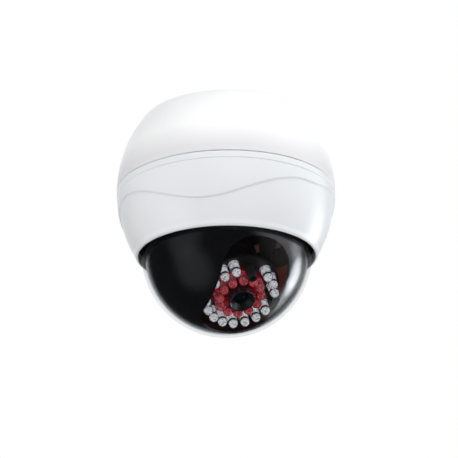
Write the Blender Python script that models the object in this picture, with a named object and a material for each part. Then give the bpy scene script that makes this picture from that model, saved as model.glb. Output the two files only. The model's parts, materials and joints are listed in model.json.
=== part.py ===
"""A ceiling dome camera, built as it comes apart on a bench.

A white bowl-shaped base hangs from a round ceiling plate. A white cover twists onto the base and
holds a clear bubble. Inside, a black liner with a slot turns with a turntable, and a camera can
with two rings of lamps tilts in a yoke and rolls in its cradle.

Units are metres and +Z points up into the ceiling. The origin is the centre of the ceiling face.
The slot and the lens face -Y.
"""

import math

import bmesh
import bpy

MM = 0.001
GAP = 0.3 * MM                     # between pieces that rest on each other

# Outer shape: one rounded body, widest where the cover meets the base
BODY_RADIUS = 55.0 * MM
BASE_HEIGHT = 38.0 * MM
BASE_SEMI_AXIS = 59.0 * MM         # vertical half axis of the base's ellipse
COVER_HEIGHT = 34.5 * MM
COVER_SEMI_AXIS = 60.0 * MM
WALL = 2.3 * MM
JOINT_Z = -BASE_HEIGHT
LIP_Z = JOINT_Z - COVER_HEIGHT

# Ceiling side
CEILING_RADIUS = 41.6 * MM         # the flat rim that meets the ceiling
PLATE_RADIUS = 36.0 * MM
PLATE_THICK = 2.0 * MM
PLATE_HOLE = 2.3 * MM
ROOF_Z = -5.2 * MM                 # top of the hollow inside the base
CABLE_CENTRE = (0, 21.0 * MM)
CABLE_HOLE = 6.0 * MM
SPIGOT_OUTER = 50.3 * MM
SPIGOT_INNER = 48.3 * MM
SPIGOT_DEPTH = 6.0 * MM
COVER_BORE = 52.4 * MM             # clears the spigot and its seal
SEAL_RING = 51.35 * MM

# The bubble and the liner share one centre, just above the cover's lip
BALL_Z = LIP_Z + 2.8 * MM
DOME_RADIUS = 42.5 * MM
DOME_WALL = 1.3 * MM
SHROUD_RADIUS = 40.7 * MM
SHROUD_WALL = 1.0 * MM
LIP_BORE = 43.75 * MM
SLOT_HALF_WIDTH = 17.5 * MM
SLOT_TOP_DEG = 7.5                 # below the horizontal, on the front of the liner
SLOT_END_DEG = 98.0                # a little past the bottom
SLOT_CORNER_POWER = 2.3            # 2 would give round ends, more gives squarer ones

# Camera module. Its lengths are measured forwards from the tilt pivot, along the lens axis.
PIVOT_Z = BALL_Z - 3.0 * MM
REST_DEG = 59.5                    # the lens axis below the horizontal
CAN_RADIUS = 12.0 * MM
CAN_BORE = 10.4 * MM
CAN_REAR = -6.5 * MM
CAN_FRONT = 21.3 * MM
CRADLE_RADIUS = 15.0 * MM
CRADLE_REAR = -4.5 * MM
CRADLE_FRONT = 6.0 * MM
LAMP_BOARD_RADIUS = 20.8 * MM
LAMP_BOARD_BACK = 21.6 * MM
LAMP_BOARD_FRONT = 23.2 * MM
LAMP_BASE = LAMP_BOARD_FRONT + GAP
LAMP_TIP = 31.7 * MM
LAMP_RADIUS = 2.4 * MM
LAMP_FLANGE = 2.75 * MM
OUTER_RING = 17.0 * MM
OUTER_PITCH_DEG = 20
OUTER_FIRST_DEG = 10
OUTER_LEFT_OUT = (10, 90, 270, 350)   # taken by the light sensor and the two board screws
INNER_RING = 10.4 * MM
INNER_COUNT = 12
LIGHT_SENSOR_RING = 14.2 * MM
LENS_RADIUS = 6.6 * MM
LENS_TIP = 32.4 * MM
LENS_NECK = 5.6 * MM
HOLDER_TOP = 17.0 * MM
YOKE_INSIDE = 22.0 * MM
YOKE_THICK = 2.2 * MM

# Turntable and fixed frame
TURNTABLE_TOP = -54.6 * MM
TURNTABLE_BOTTOM = -56.5 * MM
HUB_RADIUS = 9.0 * MM
HUB_BORE = 6.2 * MM
HUB_TOP = -47.0 * MM
FRAME_BOTTOM = -52.8 * MM
FRAME_TOP = -50.6 * MM
FRAME_RADIUS = 43.6 * MM
TURNTABLE_RADIUS = 39.2 * MM
POST_RING = 40.0 * MM
POST_DEGREES = (90, 210, 330)
POST_BORE = 1.5 * MM
BOARD_TOP = -12.4 * MM
BOARD_BOTTOM = -14.0 * MM
BOSS_RING = 28.0 * MM
BOSS_DEGREES = (30, 150, 270)
BOSS_BORE = 1.2 * MM
CLAMP_RING = 44.9 * MM
CLAMP_DEGREES = (0, 120, 240)
CLAMP_BORE = 0.85 * MM
FLANGE_RADIUS = 45.95 * MM         # the bubble's flange and the seal under it
FLANGE_THICK = 1.5 * MM
LUG_DEGREES = (60, 180, 300)
LUG_WIDTH_DEG = 26

BIG_SIDES = 36
BALL_SIDES = 36
BALL_ARC = 8
MEDIUM_SIDES = 24
SMALL_SIDES = 20
SCREW_SIDES = 10
LAMP_SIDES = 10


def clear_scene():
    for old in list(bpy.data.objects):
        bpy.data.objects.remove(old, do_unlink=True)


def look(name, colour, roughness, metallic=0.0, transmission=0.0):
    made = bpy.data.materials.new(name)
    made.use_nodes = True
    shader = made.node_tree.nodes["Principled BSDF"]
    shader.inputs["Base Color"].default_value = (*colour, 1.0)
    shader.inputs["Roughness"].default_value = roughness
    shader.inputs["Metallic"].default_value = metallic
    shader.inputs["Transmission Weight"].default_value = transmission
    made.diffuse_color = (*colour, 1.0)
    return made


def white_plastic(name):
    return look(name, (0.86, 0.86, 0.87), 0.35)


def black_plastic(name):
    return look(name, (0.012, 0.012, 0.014), 0.3)


def steel(name):
    return look(name, (0.6, 0.6, 0.62), 0.3, metallic=1.0)


def circuit_board(name):
    return look(name, (0.02, 0.1, 0.04), 0.45)


def empty(name, location=(0, 0, 0), tilt=0.0, parent=None):
    made = bpy.data.objects.new(name, None)
    made.location = location
    made.rotation_euler = (tilt, 0, 0)
    made.parent = parent
    bpy.context.collection.objects.link(made)
    return made


def finish_object(name, shape, surface=None, parent=None):
    """Turns a bmesh into an object: a part if it has a surface, and a hidden helper if not."""
    bmesh.ops.recalc_face_normals(shape, faces=shape.faces)
    mesh = bpy.data.meshes.new(name)
    shape.to_mesh(mesh)
    shape.free()
    made = bpy.data.objects.new(name, mesh)
    made.parent = parent
    bpy.context.collection.objects.link(made)
    if surface is None:
        made.hide_render = True
        made.display_type = "WIRE"
    else:
        mesh.materials.append(surface)
        mesh.shade_smooth()
        mesh.set_sharp_from_angle(angle=math.radians(35))
    return made


def spun(shape, outline, sides, ring, centre=(0, 0)):
    """Adds a body of revolution about the vertical line through centre to the bmesh."""
    across, along = centre
    points = [shape.verts.new((across + radius, along, z)) for radius, z in outline]
    edges = [shape.edges.new(pair) for pair in zip(points, points[1:])]
    if ring:
        edges.append(shape.edges.new((points[-1], points[0])))
    bmesh.ops.spin(
        shape,
        geom=points + edges,
        cent=(across, along, 0),
        axis=(0, 0, 1),
        angle=2 * math.pi,
        steps=sides,
        use_duplicate=False,
    )
    bmesh.ops.remove_doubles(shape, verts=shape.verts, dist=0.001 * MM)


def turned(name, outline, surface=None, parent=None, sides=SMALL_SIDES, ring=False, centre=(0, 0)):
    """A turned piece. A ring's outline closes on itself, any other starts and ends on the axis."""
    shape = bmesh.new()
    spun(shape, outline, sides, ring, centre)
    return finish_object(name, shape, surface, parent)


def rod(name, radius, low, high, surface=None, parent=None, sides=SCREW_SIDES, centre=(0, 0)):
    outline = [(0, high), (radius, high), (radius, low), (0, low)]
    return turned(name, outline, surface, parent, sides, centre=centre)


def tube(name, inner, outer, low, high, surface=None, parent=None, sides=SMALL_SIDES):
    outline = [(inner, high), (outer, high), (outer, low), (inner, low)]
    return turned(name, outline, surface, parent, sides, ring=True)


def screw(name, head, shaft, seat, height, tip, surface, parent=None, centre=(0, 0)):
    """A round-headed screw along Z. The head starts at seat, and height carries its side."""
    side = 1 if tip < seat else -1
    outline = [
        (0, seat + side * height),
        (0.7 * head, seat + side * height),
        (head, seat + side * 0.5 * height),
        (head, seat),
        (shaft, seat),
        (shaft, tip),
        (0, tip),
    ]
    return turned(name, outline, surface, parent, SCREW_SIDES, centre=centre)


def block(name, size, centre, surface=None, parent=None):
    shape = bmesh.new()
    bmesh.ops.create_cube(shape, size=1.0)
    bmesh.ops.scale(shape, vec=size, verts=shape.verts)
    bmesh.ops.translate(shape, vec=centre, verts=shape.verts)
    return finish_object(name, shape, surface, parent)


def arc_block(name, inner, outer, low, high, middle_deg, width_deg, steps=6):
    """A helper: a stretch of a square-section ring."""
    shape = bmesh.new()
    sections = []
    for step in range(steps + 1):
        angle = math.radians(middle_deg + width_deg * (step / steps - 0.5))
        across, along = math.cos(angle), math.sin(angle)
        corners = [(inner, low), (outer, low), (outer, high), (inner, high)]
        sections.append([shape.verts.new((r * across, r * along, z)) for r, z in corners])
    for one, two in zip(sections, sections[1:]):
        for k in range(4):
            shape.faces.new((one[k], one[(k + 1) % 4], two[(k + 1) % 4], two[k]))
    shape.faces.new(sections[0])
    shape.faces.new(sections[-1])
    return finish_object(name, shape)


def combine(target, helper, operation):
    change = target.modifiers.new(helper.name, "BOOLEAN")
    change.operation = operation
    change.solver = "EXACT"
    change.object = helper


def cut(target, helper):
    combine(target, helper, "DIFFERENCE")


def add(target, helper):
    combine(target, helper, "UNION")


def on_ring(radius, degrees):
    angle = math.radians(degrees)
    return radius * math.cos(angle), radius * math.sin(angle)


def spread(first, last, count):
    return [first + (last - first) * k / (count - 1) for k in range(count)]


def body_radius(z, semi_axis):
    return BODY_RADIUS * math.sqrt(1 - ((z - JOINT_Z) / semi_axis) ** 2)


def ball_arc(radius, first_deg, last_deg, count=BALL_ARC):
    """Points on the bubble's circle, in degrees below the horizontal."""
    angles = [math.radians(a) for a in spread(first_deg, last_deg, count + 1)]
    return [(radius * math.cos(a), BALL_Z - radius * math.sin(a)) for a in angles]


# ---------------------------------------------------------------- fixed pieces

def make_base():
    recess_radius = PLATE_RADIUS + GAP
    recess_z = -PLATE_THICK - GAP
    rim_z = JOINT_Z + 0.1 * MM
    spigot_z = JOINT_Z - SPIGOT_DEPTH
    outline = [(0, recess_z), (recess_radius, recess_z), (recess_radius, 0), (CEILING_RADIUS, 0)]
    outline += [(body_radius(z, BASE_SEMI_AXIS), z) for z in spread(-0.8 * MM, rim_z, 7)]
    outline += [(SPIGOT_OUTER, rim_z), (SPIGOT_OUTER, spigot_z), (SPIGOT_INNER, spigot_z)]
    outline += [(SPIGOT_INNER, rim_z + 2.0 * MM)]
    inner = spread(JOINT_Z + SPIGOT_DEPTH, ROOF_Z, 4)
    outline += [(body_radius(z, BASE_SEMI_AXIS) - WALL, z) for z in inner]
    outline += [(0, ROOF_Z)]
    base = turned("base_housing", outline, white_plastic("base_white"), sides=BIG_SIDES)

    for degrees in POST_DEGREES:
        centre = on_ring(POST_RING, degrees)
        end = FRAME_TOP + GAP
        add(base, rod(f"post_{degrees}", 3.4 * MM, end, ROOF_Z + MM, centre=centre))
        cut(base, rod(f"post_bore_{degrees}", POST_BORE, end - MM, end + 7 * MM, centre=centre))
    for degrees in BOSS_DEGREES:
        centre = on_ring(BOSS_RING, degrees)
        end = BOARD_TOP + GAP
        add(base, rod(f"boss_{degrees}", 2.8 * MM, end, ROOF_Z + MM, centre=centre))
        cut(base, rod(f"boss_bore_{degrees}", BOSS_BORE, end - MM, end + 5 * MM, centre=centre))
    for degrees in LUG_DEGREES:
        lug_z = JOINT_Z - 5.6 * MM
        lug = arc_block(f"lug_{degrees}", SPIGOT_INNER + 0.6 * MM, 52.0 * MM,
                        lug_z, lug_z + 1.5 * MM, degrees, LUG_WIDTH_DEG)
        add(base, lug)
    return base


def make_cable_entry(base, plate):
    """A rubber bush where the cable comes down through the plate into the base."""
    for name, piece in (("cable_hole_base", base), ("cable_hole_plate", plate)):
        hole = rod(name, CABLE_HOLE, ROOF_Z - 3 * MM, MM, centre=CABLE_CENTRE, sides=SMALL_SIDES)
        cut(piece, hole)
    bore, neck, flange = 3.0 * MM, CABLE_HOLE - GAP, 7.8 * MM
    top, flange_top = -0.5 * MM, ROOF_Z - GAP
    flange_low = flange_top - 1.3 * MM
    outline = [(bore, top), (neck, top), (neck, flange_top), (flange, flange_top),
               (flange, flange_low), (bore, flange_low)]
    rubber = look("grommet_rubber", (0.02, 0.02, 0.02), 0.8)
    turned("cable_grommet", outline, rubber, ring=True, centre=CABLE_CENTRE)


def make_mounting_plate():
    plate = rod("mounting_plate", PLATE_RADIUS, -PLATE_THICK, 0, steel("plate_zinc"), sides=BIG_SIDES)
    for degrees in BOSS_DEGREES:
        hole = rod(f"ceiling_screw_hole_{degrees}", PLATE_HOLE, -PLATE_THICK - MM, MM,
                   centre=on_ring(BOSS_RING, degrees))
        cut(plate, hole)
    return plate


def make_main_board():
    board = rod("main_board", 34.0 * MM, BOARD_BOTTOM, BOARD_TOP,
                circuit_board("main_board_green"), sides=BIG_SIDES)
    zinc = steel("board_screw_steel")
    for number, degrees in enumerate(BOSS_DEGREES, 1):
        centre = on_ring(BOSS_RING, degrees)
        cut(board, rod(f"board_hole_{number}", BOSS_BORE, BOARD_BOTTOM - MM, BOARD_TOP + MM,
                       centre=centre))
        screw(f"board_screw_{number}", 2.4 * MM, 0.9 * MM, BOARD_BOTTOM - GAP, 1.4 * MM,
              BOARD_TOP + 3.5 * MM, zinc, centre=centre)
    width, depth, height = 13 * MM, 9 * MM, 9 * MM
    middle = (0, 17 * MM, BOARD_BOTTOM - GAP - height / 2)
    block("power_connector", (width, depth, height), middle,
          look("connector_nylon", (0.75, 0.73, 0.66), 0.5))


def make_base_seal():
    rubber = look("seal_rubber", (0.02, 0.02, 0.02), 0.75)
    middle, half = JOINT_Z - 1.0 * MM, 0.65 * MM
    outline = [(SEAL_RING + half * math.cos(a), middle + half * math.sin(a))
               for a in (math.tau * k / 6 for k in range(6))]
    turned("base_seal", outline, rubber, sides=BIG_SIDES, ring=True)


def make_pan_frame():
    frame = tube("pan_frame", HUB_RADIUS + GAP, FRAME_RADIUS, FRAME_BOTTOM, FRAME_TOP,
                 black_plastic("frame_black"), sides=BIG_SIDES)
    zinc = steel("frame_screw_steel")
    for number, degrees in enumerate(POST_DEGREES, 1):
        centre = on_ring(POST_RING, degrees)
        cut(frame, rod(f"frame_hole_{number}", POST_BORE, FRAME_BOTTOM - MM, FRAME_TOP + MM,
                       centre=centre))
        screw(f"frame_screw_{number}", 2.6 * MM, 1.2 * MM, FRAME_BOTTOM - GAP, 1.2 * MM,
              FRAME_TOP + 6 * MM, zinc, centre=centre)


# ---------------------------------------------------------------- cover and bubble

def make_cover(parent):
    top_z = JOINT_Z - 0.2 * MM
    groove_z = JOINT_Z - 3.6 * MM
    ledge_z = LIP_Z + 5.0 * MM
    outer = [(body_radius(z, COVER_SEMI_AXIS), z) for z in (top_z, groove_z + 0.35 * MM)]
    outer += [(body_radius(groove_z, COVER_SEMI_AXIS) - 0.45 * MM, groove_z)]
    outer += [(body_radius(z, COVER_SEMI_AXIS), z)
              for z in spread(groove_z - 0.35 * MM, LIP_Z + 0.7 * MM, 7)]
    lip = [(44.55 * MM, LIP_Z), (LIP_BORE, LIP_Z + 0.5 * MM), (LIP_BORE, ledge_z)]
    inner = [(46.2 * MM, ledge_z)]
    inner += [(min(body_radius(z, COVER_SEMI_AXIS) - WALL, COVER_BORE), z)
              for z in spread(ledge_z + 2 * MM, JOINT_Z - 6.5 * MM, 3)]
    inner += [(COVER_BORE, top_z)]
    cover = turned("trim_cover", outer + lip + inner, white_plastic("cover_white"), parent,
                   sides=BIG_SIDES, ring=True)
    for degrees in LUG_DEGREES:
        tab_z = JOINT_Z - 3.7 * MM
        tab = arc_block(f"cover_tab_{degrees}", 50.85 * MM, 53.2 * MM,
                        tab_z, tab_z + 1.4 * MM, degrees, LUG_WIDTH_DEG)
        add(cover, tab)
    return cover, ledge_z


def make_bubble(parent, cover, ledge_z):
    seal_low = ledge_z + GAP
    seal_high = seal_low + 0.9 * MM
    flange_low = seal_high + GAP
    flange_high = flange_low + FLANGE_THICK
    ring_low = flange_high + GAP
    ring_high = ring_low + 1.7 * MM
    inside = DOME_RADIUS - DOME_WALL

    seal = tube("dome_seal", LIP_BORE + GAP, FLANGE_RADIUS, seal_low, seal_high,
                look("dome_seal_rubber", (0.03, 0.03, 0.03), 0.7), parent, BIG_SIDES)
    outline = ball_arc(inside, 90, 0)
    outline += [(inside, flange_high), (FLANGE_RADIUS, flange_high), (FLANGE_RADIUS, flange_low),
                (DOME_RADIUS, flange_low)]
    outline += ball_arc(DOME_RADIUS, 0, 90)
    clear = look("bubble_clear", (0.97, 0.98, 1.0), 0.03, transmission=1.0)
    dome = turned("clear_dome", outline, clear, parent, BALL_SIDES)
    ring = tube("dome_clamp_ring", DOME_RADIUS + 0.4 * MM, FLANGE_RADIUS, ring_low, ring_high,
                black_plastic("clamp_black"), parent, BIG_SIDES)

    zinc = steel("clamp_screw_steel")
    for number, degrees in enumerate(CLAMP_DEGREES, 1):
        centre = on_ring(CLAMP_RING, degrees)
        bore = rod(f"clamp_bore_{number}", CLAMP_BORE, ledge_z - 3 * MM, ring_high + MM,
                   centre=centre)
        for piece in (seal, dome, ring, cover):
            cut(piece, bore)
        screw(f"clamp_screw_{number}", 1.25 * MM, 0.5 * MM, ring_high + GAP, 0.9 * MM,
              ledge_z - 2.5 * MM, zinc, parent, centre)


# ---------------------------------------------------------------- turntable, yoke and liner

def make_turntable(parent):
    outline = [
        (HUB_BORE, HUB_TOP),
        (HUB_RADIUS, HUB_TOP),
        (HUB_RADIUS, TURNTABLE_TOP),
        (TURNTABLE_RADIUS, TURNTABLE_TOP),
        (TURNTABLE_RADIUS, TURNTABLE_BOTTOM),
        (HUB_BORE, TURNTABLE_BOTTOM),
    ]
    table = turned("turntable", outline, black_plastic("turntable_black"), parent, BIG_SIDES,
                   ring=True)
    tube("pan_friction_washer", HUB_RADIUS + GAP, 17 * MM, TURNTABLE_TOP + GAP, FRAME_BOTTOM - GAP,
         look("washer_nylon", (0.8, 0.78, 0.7), 0.4), parent)
    tube("pan_retaining_ring", HUB_RADIUS + GAP, 13.5 * MM, FRAME_TOP + GAP, FRAME_TOP + 2.3 * MM,
         steel("retaining_ring_steel"), parent)
    return table


def make_yoke(side, name, table, parent):
    """One L-shaped arm: a foot under the turntable, and a cheek that carries the pivot."""
    inside, outside = side * YOKE_INSIDE, side * (YOKE_INSIDE + YOKE_THICK)
    top = TURNTABLE_BOTTOM - GAP
    foot_low = top - 1.5 * MM
    shoulder = foot_low - 2 * MM
    half_width, round_end, steps = 7.0 * MM, 6.0 * MM, 8
    outline = [(-half_width, top), (half_width, top), (half_width, shoulder)]
    for k in range(steps + 1):
        angle = math.pi * k / steps
        outline.append((round_end * math.cos(angle), PIVOT_Z - round_end * math.sin(angle)))
    outline.append((-half_width, shoulder))

    shape = bmesh.new()
    loops = [[shape.verts.new((x, y, z)) for y, z in outline] for x in (inside, outside)]
    for loop in loops:
        shape.faces.new(loop)
    for k in range(len(outline)):
        after = (k + 1) % len(outline)
        shape.faces.new((loops[0][k], loops[0][after], loops[1][after], loops[1][k]))
    arm = finish_object(f"yoke_{name}", shape, black_plastic(f"yoke_black_{name}"), parent)

    foot_width = 8.0 * MM
    foot_middle = side * (YOKE_INSIDE + 1.0 * MM + foot_width / 2)
    foot = block(f"foot_{name}", (foot_width, 2 * half_width, top - foot_low),
                 (foot_middle, 0, (top + foot_low) / 2))
    foot.parent = parent
    add(arm, foot)
    centre = (side * (YOKE_INSIDE + 6.0 * MM), 0)
    foot_bore = rod(f"foot_bore_{name}", 1.3 * MM, foot_low - MM, TURNTABLE_TOP + MM, centre=centre)
    cut(arm, foot_bore)
    cut(table, foot_bore)
    screw(f"yoke_screw_{name}", 2.2 * MM, 1.0 * MM, foot_low - GAP, 1.2 * MM,
          TURNTABLE_TOP - 0.3 * MM, steel(f"yoke_screw_steel_{name}"), parent, centre)
    cut(arm, cross_rod(f"pivot_bore_{name}", 1.5 * MM, inside - side * MM, outside + side * MM))


def cross_rod(name, radius, start, end, height=PIVOT_Z):
    """A helper: a round bar along X, from start to end, at the given height."""
    shape = bmesh.new()
    spun(shape, [(0, end), (radius, end), (radius, start), (0, start)], LAMP_SIDES + 2, False)
    turn_to_x(shape, height)
    return finish_object(name, shape)


def turn_to_x(shape, height):
    """Turns a piece made along Z so that it lies along X, and lifts it to a height."""
    for vert in shape.verts:
        x, y, z = vert.co
        vert.co = (z, y, height - x)


def slot_half_width(fraction):
    """Half the slot's width at a fraction, -1 to 1, of the way along each end's curve."""
    return SLOT_HALF_WIDTH * (1 - abs(fraction) ** SLOT_CORNER_POWER) ** (1 / SLOT_CORNER_POWER)


def make_slot_cutter(rows_in_end=7):
    """A curved wedge: its sides stand parallel to the plane through the slot and the axis."""
    end_deg = math.degrees(SLOT_HALF_WIDTH / SHROUD_RADIUS)
    near, far = SHROUD_RADIUS - 10 * MM, SHROUD_RADIUS + 10 * MM
    rows = []
    for k in range(rows_in_end):
        fraction = math.cos(math.pi / 2 * (k + 0.35) / rows_in_end)
        rows.append((SLOT_TOP_DEG + end_deg * (1 - fraction), slot_half_width(fraction)))
    straight = spread(SLOT_TOP_DEG + end_deg, SLOT_END_DEG - end_deg, 5)
    rows += [(degrees, SLOT_HALF_WIDTH) for degrees in straight]
    top_end = rows[:rows_in_end]
    rows += [(SLOT_TOP_DEG + SLOT_END_DEG - degrees, half) for degrees, half in reversed(top_end)]

    shape = bmesh.new()
    sections = []
    for degrees, half in rows:
        angle = math.radians(degrees)
        corners = []
        for across, reach in ((-half, near), (-half, far), (half, far), (half, near)):
            place = (across, -reach * math.cos(angle), BALL_Z - reach * math.sin(angle))
            corners.append(shape.verts.new(place))
        sections.append(corners)
    for one, two in zip(sections, sections[1:]):
        for k in range(4):
            shape.faces.new((one[k], one[(k + 1) % 4], two[(k + 1) % 4], two[k]))
    shape.faces.new(sections[0])
    shape.faces.new(sections[-1])
    return finish_object("slot_cutter", shape)


def make_shroud(parent):
    inside = SHROUD_RADIUS - SHROUD_WALL
    rim = TURNTABLE_TOP - 0.4 * MM
    outline = ball_arc(inside, 90, 0) + [(inside, rim), (SHROUD_RADIUS, rim)]
    outline += ball_arc(SHROUD_RADIUS, 0, 90)
    shroud = turned("shroud", outline, look("liner_black", (0.01, 0.01, 0.012), 0.18), parent,
                    BALL_SIDES)
    cut(shroud, make_slot_cutter())
    return shroud


# ---------------------------------------------------------------- cradle and camera module

def make_cradle(parent):
    """The ring that holds the can, with a stub on each side for the tilt screws."""
    cradle = tube("cradle", CAN_RADIUS + GAP, CRADLE_RADIUS, CRADLE_REAR, CRADLE_FRONT,
                  black_plastic("cradle_black"), parent, MEDIUM_SIDES)
    for side, name in ((-1, "left"), (1, "right")):
        face = side * (YOKE_INSIDE - GAP)
        stub = cross_rod(f"stub_{name}", 4.0 * MM, side * 13.6 * MM, face, height=0)
        bore = cross_rod(f"stub_bore_{name}", 1.3 * MM, side * 16.5 * MM, face + side * MM, height=0)
        stub.parent = parent
        bore.parent = parent
        add(cradle, stub)
        cut(cradle, bore)
        make_tilt_screw(side, name, parent)


def make_tilt_screw(side, name, parent):
    seat, tip = YOKE_INSIDE + YOKE_THICK + GAP, CRADLE_RADIUS + 2 * MM
    outline = [(0, seat + 1.5 * MM), (2.4 * MM, seat + 1.5 * MM), (3.2 * MM, seat + 0.8 * MM),
               (3.2 * MM, seat), (1.0 * MM, seat), (1.0 * MM, tip), (0, tip)]
    shape = bmesh.new()
    spun(shape, [(radius, side * z) for radius, z in outline], SCREW_SIDES, False)
    turn_to_x(shape, 0)
    finish_object(f"tilt_screw_{name}", shape, steel(f"tilt_screw_steel_{name}"), parent)


def make_can(parent):
    flange, board_seat, wire_hole = 14.6 * MM, 19.0 * MM, 3.0 * MM
    thick = 1.5 * MM
    flange_low = CRADLE_FRONT + GAP
    rear_wall = CAN_REAR + 1.3 * MM
    outline = [
        (CAN_BORE, CAN_FRONT),
        (board_seat, CAN_FRONT),
        (board_seat, CAN_FRONT - thick),
        (CAN_RADIUS, CAN_FRONT - thick),
        (CAN_RADIUS, flange_low + thick),
        (flange, flange_low + thick),
        (flange, flange_low),
        (CAN_RADIUS, flange_low),
        (CAN_RADIUS, CAN_REAR),
        (wire_hole, CAN_REAR),
        (wire_hole, rear_wall),
        (CAN_BORE, rear_wall),
    ]
    can = turned("camera_can", outline, black_plastic("can_black"), parent, MEDIUM_SIDES, ring=True)
    tube("can_retaining_ring", CAN_RADIUS + GAP, 14.2 * MM, CAN_REAR + GAP, CRADLE_REAR - GAP,
         steel("can_ring_steel"), parent)
    return can


def make_sensor(parent):
    """Stacked up from the rear: the board, the chip, its filter and the holder round them."""
    board_low, board_thick, die_thick, filter_thick = 1.5 * MM, 1.6 * MM, 1.0 * MM, 0.5 * MM
    rod("sensor_board", 10.0 * MM, board_low, board_low + board_thick,
        circuit_board("sensor_board_green"), parent, SMALL_SIDES)
    seat = board_low + board_thick + GAP
    block("image_sensor", (6 * MM, 6 * MM, die_thick), (0, 0, seat + die_thick / 2),
          look("sensor_die", (0.05, 0.05, 0.08), 0.2), parent)
    filter_low = seat + die_thick + GAP
    block("ir_filter", (5 * MM, 5 * MM, filter_thick), (0, 0, filter_low + filter_thick / 2),
          look("filter_glass", (0.5, 0.75, 0.8), 0.05, transmission=0.8), parent)
    bore, outer, foot = LENS_NECK + GAP, 8.0 * MM, 9.2 * MM
    foot_top = seat + 1.6 * MM
    outline = [(bore, HOLDER_TOP), (outer, HOLDER_TOP), (outer, foot_top), (foot, foot_top),
               (foot, seat), (bore, seat)]
    turned("lens_holder", outline, black_plastic("holder_black"), parent, ring=True)


def make_lens(parent):
    bore, neck = 3.6 * MM, LENS_NECK
    outline = [
        (bore, LENS_TIP - 2.4 * MM),
        (LENS_RADIUS - 0.8 * MM, LENS_TIP),
        (LENS_RADIUS - 0.15 * MM, LENS_TIP),
        (LENS_RADIUS, LENS_TIP - 0.3 * MM),
        (LENS_RADIUS, LENS_TIP - 5.2 * MM),
        (neck, LENS_TIP - 5.2 * MM),
        (neck, 8 * MM),
        (bore, 8 * MM),
    ]
    turned("lens_barrel", outline, black_plastic("lens_black"), parent, ring=True)
    lock_low = HOLDER_TOP + GAP
    tube("lens_lock_ring", neck + GAP, 8.6 * MM, lock_low, lock_low + 2 * MM,
         look("lock_ring_brass", (0.75, 0.55, 0.25), 0.35, metallic=1.0), parent)
    glass = bore - GAP
    crown = LENS_TIP - 2.4 * MM
    outline = [(0, crown), (0.55 * glass, crown - 0.3 * MM), (glass, crown - 1.0 * MM),
               (glass, crown - 2.0 * MM), (0, crown - 2.0 * MM)]
    turned("front_glass", outline, look("lens_glass", (0.03, 0.03, 0.06), 0.02), parent)


def make_lamp_board(parent, can):
    board = tube("lamp_board", 7.6 * MM, LAMP_BOARD_RADIUS, LAMP_BOARD_BACK, LAMP_BOARD_FRONT,
                 look("lamp_board_black", (0.01, 0.01, 0.01), 0.4), parent, BIG_SIDES)
    for side, name in ((-1, "left"), (1, "right")):
        centre = (side * OUTER_RING, 0)
        bore = rod(f"lamp_bore_{name}", 1.25 * MM, CAN_FRONT - 2 * MM, LAMP_BASE + MM, centre=centre)
        bore.parent = parent
        cut(board, bore)
        cut(can, bore)
        screw(f"lamp_board_screw_{name}", 2.1 * MM, 0.9 * MM, LAMP_BASE, 1.2 * MM,
              CAN_FRONT - 1.3 * MM, steel(f"lamp_screw_steel_{name}"), parent, centre)


def lamp_outline(tip, low, flange=None, arc=3):
    """Half a lamp's section: a round nose, a straight body and a wider foot."""
    angles = [math.pi / 2 * (1 - k / arc) for k in range(arc + 1)]
    nose = [(LAMP_RADIUS * math.cos(a), tip - LAMP_RADIUS * (1 - math.sin(a))) for a in angles]
    nose[0] = (0, tip)
    if flange is None:
        return nose + [(LAMP_RADIUS, low), (0, low)]
    foot = low + 1.0 * MM
    return nose + [(LAMP_RADIUS, foot), (flange, foot), (flange, low), (0, low)]


def lamp_place(radius, degrees):
    """A place round the lens: 0 is the top of the board, and angles run towards +X."""
    angle = math.radians(degrees)
    return radius * math.sin(angle), radius * math.cos(angle)


def make_outer_lamps(parent):
    clear = look("lamp_clear", (0.95, 0.95, 0.97), 0.05, transmission=0.9)
    number = 0
    for degrees in range(OUTER_FIRST_DEG, 360, OUTER_PITCH_DEG):
        if degrees in OUTER_LEFT_OUT:
            continue
        number += 1
        turned(f"outer_lamp_{number:02d}", lamp_outline(LAMP_TIP, LAMP_BASE, LAMP_FLANGE), clear,
               parent, LAMP_SIDES, centre=lamp_place(OUTER_RING, degrees))


def make_inner_lamps(parent):
    """Twelve lamps stand on one narrow strip, so the ring is a single piece."""
    glow = look("lamp_red", (0.8, 0.1, 0.15), 0.1, transmission=0.5)
    strip = tube("inner_lamp_ring", 9.2 * MM, 11.6 * MM, LAMP_BASE, LAMP_BASE + 1.0 * MM, glow,
                 parent, MEDIUM_SIDES)
    shape = bmesh.new()
    for k in range(INNER_COUNT):
        degrees = 360 / INNER_COUNT * (k + 0.5)
        outline = lamp_outline(LAMP_TIP - 0.3 * MM, LAMP_BASE + 0.4 * MM)
        spun(shape, outline, LAMP_SIDES, False, lamp_place(INNER_RING, degrees))
    lamps = finish_object("inner_lamps", shape)
    lamps.parent = parent
    add(strip, lamps)


def make_light_sensor(parent):
    centre = lamp_place(LIGHT_SENSOR_RING, 0)
    outline = [(0, LAMP_TIP - 2.0 * MM), (1.3 * MM, LAMP_TIP - 2.0 * MM), (1.5 * MM, LAMP_TIP),
               (2.1 * MM, LAMP_TIP), (2.1 * MM, LAMP_BASE), (0, LAMP_BASE)]
    turned("light_sensor", outline, look("light_sensor_black", (0.01, 0.01, 0.01), 0.5), parent,
           LAMP_SIDES + 2, centre=centre)


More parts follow.
